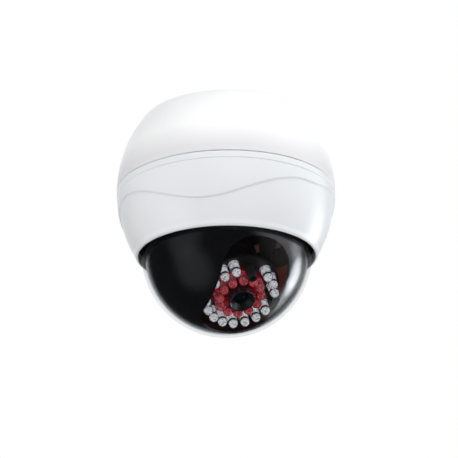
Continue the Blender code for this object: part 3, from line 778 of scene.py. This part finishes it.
def make_ceiling_plate():
    plate = rod("ceiling_plate", 36 * MM, -2 * MM, 0, 128, corner=0.2 * MM)
    for degrees in BOSSES_DEG:
        cut(plate, rod("hole", 2.3 * MM, -3 * MM, 1 * MM, 32, on_ring(BOSS_RING, degrees)))
    cut(plate, rod("hole", CABLE_RADIUS, -3 * MM, 1 * MM, 48, CABLE_PLACE))
    plate.data.set_sharp_from_angle(angle=math.radians(32))
    settle(plate, "base", "zinc_steel", "mounting_plate")


def make_grommet():
    outline = [(3.0, -0.5), (5.7, -0.5), (5.7, -5.5), (7.8, -5.5), (7.8, -6.8), (3.0, -6.8)]
    outline = [(radius * MM, z * MM) for radius, z in outline]
    grommet = turned("cable_entry", outline, 48, True, CABLE_PLACE, corner=0.4 * MM)
    settle(grommet, "base", "rubber", "cable_grommet")


# ------------------------------------------------------------------ bubble and liner

def make_bubble():
    inside = DOME_RADIUS - DOME_WALL
    flange_low, flange_high = LIP_Z + 6.5 * MM, LIP_Z + 8.0 * MM
    outline = ball_arc(inside, 90, 0, 40)
    outline += [(inside, flange_high - 0.3 * MM), (inside + 0.3 * MM, flange_high),
                (45.75 * MM, flange_high), (45.95 * MM, flange_high - 0.2 * MM),
                (45.95 * MM, flange_low + 0.2 * MM), (45.75 * MM, flange_low),
                (DOME_RADIUS + 0.5 * MM, flange_low), (DOME_RADIUS, flange_low - 0.5 * MM)]
    outline += ball_arc(DOME_RADIUS, 0, 90, 40)
    bubble = turned("bubble", outline, 160)
    settle(bubble, "cover", "clear_plastic", "clear_dome")


def slot_half_width(fraction):
    """Half the slot's width at a fraction of the way into its rounded end."""
    return SLOT_HALF_WIDTH * (1 - abs(fraction) ** SLOT_CORNER_POWER) ** (1 / SLOT_CORNER_POWER)


def slot_cutter(rows_in_end=26):
    """A band round the ball as wide as the slot, with blunt rounded ends."""
    end_deg = math.degrees(SLOT_HALF_WIDTH / SHROUD_RADIUS)
    rows = []
    for k in range(rows_in_end):
        fraction = math.cos(math.pi / 2 * (k + 0.3) / rows_in_end)
        rows.append((SLOT_TOP_DEG + end_deg * (1 - fraction), slot_half_width(fraction)))
    top_end = list(rows)
    rows += [(degrees, SLOT_HALF_WIDTH)
             for degrees in spread(SLOT_TOP_DEG + end_deg, SLOT_END_DEG - end_deg, 14)]
    rows += [(SLOT_TOP_DEG + SLOT_END_DEG - degrees, half) for degrees, half in reversed(top_end)]
    shape = bmesh.new()
    sections = []
    for degrees, half in rows:
        angle = math.radians(degrees)
        corners = []
        for across, reach in ((-half, 30 * MM), (-half, 50 * MM), (half, 50 * MM), (half, 30 * MM)):
            place = (across, -reach * math.cos(angle), BALL_Z - reach * math.sin(angle))
            corners.append(shape.verts.new(place))
        sections.append(corners)
    skin(shape, sections)
    return new_object("slot_cutter", shape)


def liner_look():
    """Glossy outside; the inside face carries a painted reflection of the lit lamps: a dull red-brown tint, with a
    faint red glow on its upper part.
    """
    made = Look("liner_look", (0.004, 0.004, 0.005), 0.15, IOR=1.95)
    distance = made.node("ShaderNodeVectorMath")
    distance.operation = "DISTANCE"
    distance.inputs[1].default_value = (0, 0, BALL_Z)
    made.link(made.place(), distance.inputs[0])
    near = SHROUD_RADIUS - SHROUD_WALL + 0.1 * MM
    # Painted reflection: the inside face is tinted red-brown for the lamps' light.
    made.tint(distance.outputs["Value"], (0.03, 0.012, 0.010), near, near - 0.05 * MM)
    height = made.node("ShaderNodeSeparateXYZ")
    made.link(made.place(), height.inputs[0])
    upper = made.node("ShaderNodeMapRange", From_Min=BALL_Z - 17 * MM, From_Max=BALL_Z - 9 * MM)
    made.link(height.outputs["Z"], upper.inputs["Value"])
    inner = made.node("ShaderNodeMapRange", From_Min=near, From_Max=near - 0.05 * MM)
    made.link(distance.outputs["Value"], inner.inputs["Value"])
    painted_glow_mask = made.node("ShaderNodeMath")
    painted_glow_mask.operation = "MULTIPLY"
    made.link(upper.outputs["Result"], painted_glow_mask.inputs[0])
    made.link(inner.outputs["Result"], painted_glow_mask.inputs[1])
    # Painted light: a faint red-brown glow on the upper inside face stands in for the lamps' light.
    made.glow(painted_glow_mask.outputs[0], (0.042, 0.012, 0.010), 0.0, 1.0)
    made.tint(made.noise(90, 3), (0.008, 0.008, 0.010), 0.45, 1.2)
    made.vary_roughness(made.noise(420, 3), 0.02)
    made.bump(made.noise(70, 2), 0.004 * MM, 0.2)
    return made.material


def make_liner():
    inside = SHROUD_RADIUS - SHROUD_WALL
    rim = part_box("shroud")[1].z
    outline = ball_arc(inside, 90, 0, 40) + [(inside, rim), (SHROUD_RADIUS, rim)]
    outline += ball_arc(SHROUD_RADIUS, 0, 90, 40)
    liner = turned("liner", outline, 160)
    cut(liner, slot_cutter())
    edge = liner.modifiers.new("edge", "BEVEL")
    edge.width = 0.22 * MM
    edge.segments = 2
    edge.limit_method = "ANGLE"
    edge.angle_limit = math.radians(50)
    apply_modifiers(liner)
    liner.data.set_sharp_from_angle(angle=math.radians(50))
    settle(liner, "pan", "black_gloss", "shroud", liner_look())


# ------------------------------------------------------------------ camera module

def cut_screw_bores(piece):
    """The lamp board's two screws go through the board and into the can."""
    for side in (-1, 1):
        cut(piece, rod("bore", BOARD_BORE, 19 * MM, 25 * MM, 24, (side * OUTER_RING, 0)))


def make_lamp_board():
    outline = [(7.6 * MM, LAMP_BOARD_FRONT), (LAMP_BOARD_RADIUS, LAMP_BOARD_FRONT),
               (LAMP_BOARD_RADIUS, LAMP_BOARD_BACK), (7.6 * MM, LAMP_BOARD_BACK)]
    plate = turned("lamp_plate", outline, 128, True, corner=0.15 * MM)
    cut_screw_bores(plate)
    plate.data.set_sharp_from_angle(angle=math.radians(32))
    settle(plate, "camera", "black_board", "lamp_board", lamp_board_look(), True)


def lamp_board_look():
    """Black solder mask, with painted lamp light round the lens: a deep red tint and a faint red glow where the
    inner lamps light it.
    """
    made = Look("lamp_board_look", (0.010, 0.010, 0.011), 0.34, Coat_Weight=0.2)
    radius = distance_from_lens_axis(made)
    glow = made.node("ShaderNodeMapRange", From_Min=14.0 * MM, From_Max=10.5 * MM)
    made.link(radius, glow.inputs["Value"])
    glow.clamp = True
    # Painted light: the red tint and glow round the lens stand in for the inner lamps' light on the board.
    made.tint(glow.outputs["Result"], (0.40, 0.003, 0.005), 0.0, 1.0)
    made.glow(glow.outputs["Result"], (0.07, 0.0, 0.001), 0.0, 1.0)
    made.tint(made.noise(600, 3), (0.016, 0.015, 0.015), 0.5, 0.8)
    made.bump(made.noise(2600, 2), 0.01 * MM, 0.5)
    return made.material


def distance_from_lens_axis(made):
    """How far a point lies from the lens axis at rest, in metres."""
    offset = made.node("ShaderNodeVectorMath")
    offset.operation = "SUBTRACT"
    offset.inputs[1].default_value = PIVOT
    made.link(made.place(), offset.inputs[0])
    cross = made.node("ShaderNodeVectorMath")
    cross.operation = "CROSS_PRODUCT"
    cross.inputs[1].default_value = LENS_AXIS
    made.link(offset.outputs["Vector"], cross.inputs[0])
    length = made.node("ShaderNodeVectorMath")
    length.operation = "LENGTH"
    made.link(cross.outputs["Vector"], length.inputs[0])
    return length.outputs["Value"]


def lamp_outline(tip, low, flange=None):
    """A lamp's body with its round nose, and with a flange at its foot if it has one."""
    angles = [math.pi / 2 * (1 - k / 9) for k in range(10)]
    nose = [(LAMP_RADIUS * math.cos(a), tip - LAMP_RADIUS * (1 - math.sin(a))) for a in angles]
    nose[0] = (0, tip)
    if flange is None:
        return nose + [(LAMP_RADIUS, low), (0, low)]
    foot = low + 1.0 * MM
    return nose + [(LAMP_RADIUS, foot), (flange - 0.1 * MM, foot), (flange, foot - 0.1 * MM),
                   (flange, low), (0, low)]


def lead_frame(shape, centre, tip, low, turn_deg):
    """Inside a lamp: the bright cup under its nose, two wide legs, and the foot they stand in."""
    x, y = centre
    cup_top, cup_foot = tip - 2.2 * MM, tip - 3.5 * MM
    cup = [(0, cup_top - 0.5 * MM), (0.5 * MM, cup_top - 0.5 * MM), (1.3 * MM, cup_top),
           (1.5 * MM, cup_top), (1.4 * MM, cup_foot + 0.4 * MM), (0.8 * MM, cup_foot), (0, cup_foot)]
    spun(shape, cup, 20, False, centre)
    foot = [(0, low + 1.2 * MM), (1.9 * MM, low + 1.1 * MM), (2.1 * MM, low + 0.9 * MM),
            (2.1 * MM, low + 0.2 * MM), (0, low + 0.2 * MM)]
    spun(shape, foot, 20, False, centre)
    turn = math.radians(turn_deg)
    along = Vector((math.cos(turn), math.sin(turn), 0))
    for offset, width in ((-0.65, 1.5), (1.15, 1.1)):
        middle = Vector((x, y, 0)) + offset * MM * along
        high, bottom = cup_foot - 0.7 * MM, low + 0.9 * MM
        size = Matrix.Diagonal((width * MM, 1.5 * MM, high - bottom, 1))
        place = Matrix.Translation((middle.x, middle.y, (high + bottom) / 2))
        leg = bmesh.ops.create_cube(shape, matrix=place @ Matrix.Rotation(turn, 4, "Z") @ size)
        edges = {edge for vert in leg["verts"] for edge in vert.link_edges}
        bmesh.ops.bevel(shape, geom=list(edges), offset=0.08 * MM, segments=2, affect="EDGES")


def painted_shade_disc(shape, centre, tip):
    """Painted shade: a black disc under a lamp's cup, standing in for the shade seen through its clear side
    between the legs.
    """
    radius, high, low = 2.0 * MM, tip - 3.6 * MM, tip - 4.1 * MM
    outline = [(0, high), (radius - 0.1 * MM, high), (radius, high - 0.1 * MM), (radius, low), (0, low)]
    spun(shape, outline, 20, False, centre)


def make_lamps():
    frames, shade_discs = bmesh.new(), bmesh.new()
    outline = lamp_outline(LAMP_TIP, LAMP_BASE, LAMP_FLANGE)
    for number, degrees in enumerate(OUTER_LAMPS_DEG, 1):
        centre = lamp_place(OUTER_RING, degrees)
        lamp = turned(f"clear_lamp_{number:02d}", outline, 32, centre=centre)
        settle(lamp, "camera", "lamp_epoxy", f"outer_lamp_{number:02d}", in_module=True)
        lead_frame(frames, centre, LAMP_TIP, LAMP_BASE, 90 - degrees + 35)
        painted_shade_disc(shade_discs, centre, LAMP_TIP)
    # Painted shade: black discs inside the outer lamps.
    settle(new_object("outer_lamp_bands", shade_discs), "camera", "black_matte", in_module=True)
    settle(new_object("outer_lead_frames", frames), "camera", "zinc_steel",
           material=silver_painted_glints(), in_module=True)


def silver_painted_glints():
    """Lead frames in painted light: a white non-metal colour speckled dark as painted glints in place of the
    metal's reflections, and a faint glow for the light that a lamp's body gathers on them.
    """
    made = Look("lead_silver", (0.95, 0.96, 0.98), 0.25, 0.0)
    # Painted light: a faint glow stands in for the light that a lamp's body gathers on the frames.
    made.shader.inputs["Emission Color"].default_value = (0.95, 0.97, 1.0, 1)
    made.shader.inputs["Emission Strength"].default_value = 0.32
    # Painted glints: dark specks break the white into a glinting pattern.
    made.tint(made.noise(1500, 3), (0.06, 0.06, 0.07), 0.50, 0.58)
    made.bump(made.noise(1800, 2), 0.03 * MM, 0.8)
    return made.material


def lit_epoxy():
    """The inner lamps are on: the clear epoxy carries the red of its die, with pale pink painted glints."""
    made = Look("lamp_red_look", (0.95, 0.34, 0.38), 0.05, Transmission_Weight=0.88, IOR=1.4)
    made.shader.inputs["Emission Color"].default_value = (0.8, 0.03, 0.06, 1)
    made.shader.inputs["Emission Strength"].default_value = 0.015
    # Painted glints: pale pink specks over the red epoxy.
    made.tint(made.noise(1300, 3), (1.0, 0.85, 0.88), 0.52, 0.62)
    made.bump(made.noise(900, 2), 0.08 * MM, 0.7)
    made.lets_light_through((1.0, 0.5, 0.55))
    return made.material


def lit_die():
    """The inner lamps' lead frames, with painted light: a red glow for their dies' light on them, and speckled
    pale pink painted glints.
    """
    made = Look("lit_cup", (0.80, 0.10, 0.14), 0.3, 0.0)
    # Painted light: the frames glow red for the dies' light that falls on them.
    made.shader.inputs["Emission Color"].default_value = (0.9, 0.06, 0.10, 1)
    made.shader.inputs["Emission Strength"].default_value = 0.10
    # Painted glints: pale pink specks, with dark red specks between them.
    made.tint(made.noise(1300, 2), (1.0, 0.62, 0.66), 0.52, 0.58)
    made.tint(made.noise(900, 2), (0.08, 0.0, 0.0), 0.50, 0.56)
    return made.material


def make_inner_lamps():
    """Twelve lamps on one ring-shaped strip, all in one piece as the CAD node is."""
    lamps, frames, shade_discs = bmesh.new(), bmesh.new(), bmesh.new()
    for k in range(INNER_COUNT):
        degrees = 360 / INNER_COUNT * (k + 0.5)
        centre = lamp_place(INNER_RING, degrees)
        spun(lamps, lamp_outline(INNER_LAMP_TIP, INNER_LAMP_BASE), 28, False, centre)
        lead_frame(frames, centre, INNER_LAMP_TIP, INNER_LAMP_BASE, 90 - degrees + 60)
        painted_shade_disc(shade_discs, centre, INNER_LAMP_TIP)
    outline = [(9.2 * MM, LAMP_BASE + 1.0 * MM), (11.6 * MM, LAMP_BASE + 1.0 * MM),
               (11.6 * MM, LAMP_BASE), (9.2 * MM, LAMP_BASE)]
    strip = turned("inner_lamps", outline, 96, True)
    add(strip, new_object("lamps", lamps))
    strip.data.set_sharp_from_angle(angle=math.radians(32))
    settle(strip, "camera", "lamp_red", "inner_lamp_ring", lit_epoxy(), True)
    # Painted shade: dark red discs inside the inner lamps.
    settle(new_object("inner_lamp_bands", shade_discs), "camera", "black_matte",
           material=black_matte("band_red", (0.09, 0.002, 0.003), 0.5), in_module=True)
    settle(new_object("inner_lead_frames", frames), "camera", "zinc_steel",
           material=lit_die(), in_module=True)


def lens_black():
    made = black_gloss("lens_black", 0.24)
    made.node_tree.nodes["Principled BSDF"].inputs["IOR"].default_value = 1.9
    return made


def make_lens():
    tip = LENS_TIP / MM
    outline = [
        (3.6, tip - 2.4), (4.1, tip - 2.0), (4.1, tip - 1.8), (5.0, tip - 1.0),
        (5.0, tip - 0.85), (5.8, tip - 0.05), (6.0, tip), (6.35, tip),
        (6.6, tip - 0.25), (6.6, tip - 1.6), (6.35, tip - 1.75),
        (6.35, tip - 2.1), (6.6, tip - 2.25), (6.6, tip - 5.2), (5.6, tip - 5.2),
        (5.6, 8.0), (3.6, 8.0),
    ]
    barrel = turned("lens_body", [(r * MM, z * MM) for r, z in outline], 96, True, corner=0.06 * MM)
    settle(barrel, "camera", "black_gloss", "lens_barrel", lens_black(), True)
    glass, crown = 3.3 * MM, LENS_TIP - 2.4 * MM
    dome = [(glass * math.sin(a), crown - 1.0 * MM * (1 - math.cos(a * 1.5)))
            for a in spread(0, math.pi / 2, 14)]
    outline = dome + [(glass, crown - 2.0 * MM), (0, crown - 2.0 * MM)]
    front = turned("lens_front", outline, 64)
    settle(front, "camera", "lens_glass", "front_glass", in_module=True)


def make_light_sensor():
    centre = lamp_place(14.2 * MM, 0)
    tip = LAMP_TIP
    outline = [(0, tip - 2.0 * MM), (1.35 * MM, tip - 2.0 * MM), (1.5 * MM, tip - 0.2 * MM),
               (1.7 * MM, tip), (1.95 * MM, tip), (2.1 * MM, tip - 0.2 * MM), (2.1 * MM, LAMP_BASE),
               (0, LAMP_BASE)]
    sensor = turned("dusk_sensor", outline, 40, centre=centre)
    settle(sensor, "camera", "black_matte", "light_sensor", in_module=True)


def make_module_screws():
    """Black cross-head screws."""
    seat, shank_end = LAMP_BASE, 20.0 * MM
    for side, name in ((-1, "left"), (1, "right")):
        centre = (side * OUTER_RING, 0)
        outline = [(0, seat + 1.2 * MM), (1.3 * MM, seat + 1.15 * MM), (1.9 * MM, seat + 0.8 * MM),
                   (2.1 * MM, seat + 0.3 * MM), (2.1 * MM, seat), (0.9 * MM, seat),
                   (0.9 * MM, shank_end), (0, shank_end)]
        head = turned(f"board_fixing_{name}", outline, 32, centre=centre, corner=0.1 * MM)
        for angle in (0, 90):
            slot = bmesh.new()
            size = Matrix.Diagonal((2.4 * MM, 0.45 * MM, 1.0 * MM, 1))
            place = Matrix.Translation((*centre, seat + 1.2 * MM))
            turn = Matrix.Rotation(math.radians(angle), 4, "Z")
            bmesh.ops.create_cube(slot, matrix=place @ turn @ size)
            cut(head, new_object("slot", slot))
        settle(head, "camera", "zinc_steel", f"lamp_board_screw_{name}",
               black_matte(f"fixing_black_{name}", (0.02, 0.02, 0.02), 0.35), True)


def make_can():
    outline = [(10.4, 21.3), (19.0, 21.3), (19.0, 19.8), (12.0, 19.8), (12.0, 7.8), (14.6, 7.8),
               (14.6, 6.3), (12.0, 6.3), (12.0, -6.5), (3.0, -6.5), (3.0, -5.2), (10.4, -5.2)]
    can = turned("can_body", [(r * MM, z * MM) for r, z in outline], 96, True, corner=0.25 * MM)
    cut_screw_bores(can)
    can.data.set_sharp_from_angle(angle=math.radians(32))
    settle(can, "camera", "black_matte", "camera_can", in_module=True)


# ------------------------------------------------------------------ carried-over nodes

def turntable_look():
    """Black, with painted lamp light on the outer part of the underside: a dull brown tint and a faint glow."""
    painted_light_from, painted_light_full = 28.5 * MM, 28.9 * MM
    made = Look("turntable_look", (0.010, 0.010, 0.011), 0.4)
    parts = made.node("ShaderNodeSeparateXYZ")
    made.link(made.place(), parts.inputs[0])
    flat = made.node("ShaderNodeCombineXYZ")
    made.link(parts.outputs["X"], flat.inputs["X"])
    made.link(parts.outputs["Y"], flat.inputs["Y"])
    radius = made.node("ShaderNodeVectorMath")
    radius.operation = "LENGTH"
    made.link(flat.outputs[0], radius.inputs[0])
    # Painted reflection and light: the brown tint and glow stand in for the lamps' light on the underside.
    made.tint(radius.outputs["Value"], (0.34, 0.17, 0.14), painted_light_from, painted_light_full)
    made.glow(radius.outputs["Value"], (0.030, 0.018, 0.016), painted_light_from, painted_light_full)
    made.tint(made.noise(260, 3), (0.05, 0.03, 0.026), 0.5, 1.1)
    made.bump(made.noise(1500, 2), 0.01 * MM, 0.5)
    return made.material


def yoke_black():
    return black_matte("yoke_black", (0.009, 0.009, 0.010), 0.35)


OWN_LOOKS = {"turntable": turntable_look, "yoke_left": yoke_black, "yoke_right": yoke_black}


def dress_cad_nodes():
    """Gives the CAD nodes their looks, except the lamp strip, which a piece here replaces."""
    slots = {row["node"]: row["material_slot"] for row in frame["record"]["subparts"]}
    for name, node in frame["nodes"].items():
        if slots[name] == "lamp_red":
            continue
        node.data.materials.clear()
        own = OWN_LOOKS.get(name)
        node.data.materials.append(own() if own else look_for(slots[name]))
        node.data.shade_smooth()
        node.data.set_sharp_from_angle(angle=math.radians(35))


make_camera()
make_studio()
dress_cad_nodes()
make_base()
make_cover()
make_ceiling_plate()
make_grommet()
make_bubble()
make_liner()
make_can()
make_lamp_board()
make_lamps()
make_inner_lamps()
make_lens()
make_light_sensor()
make_module_screws()
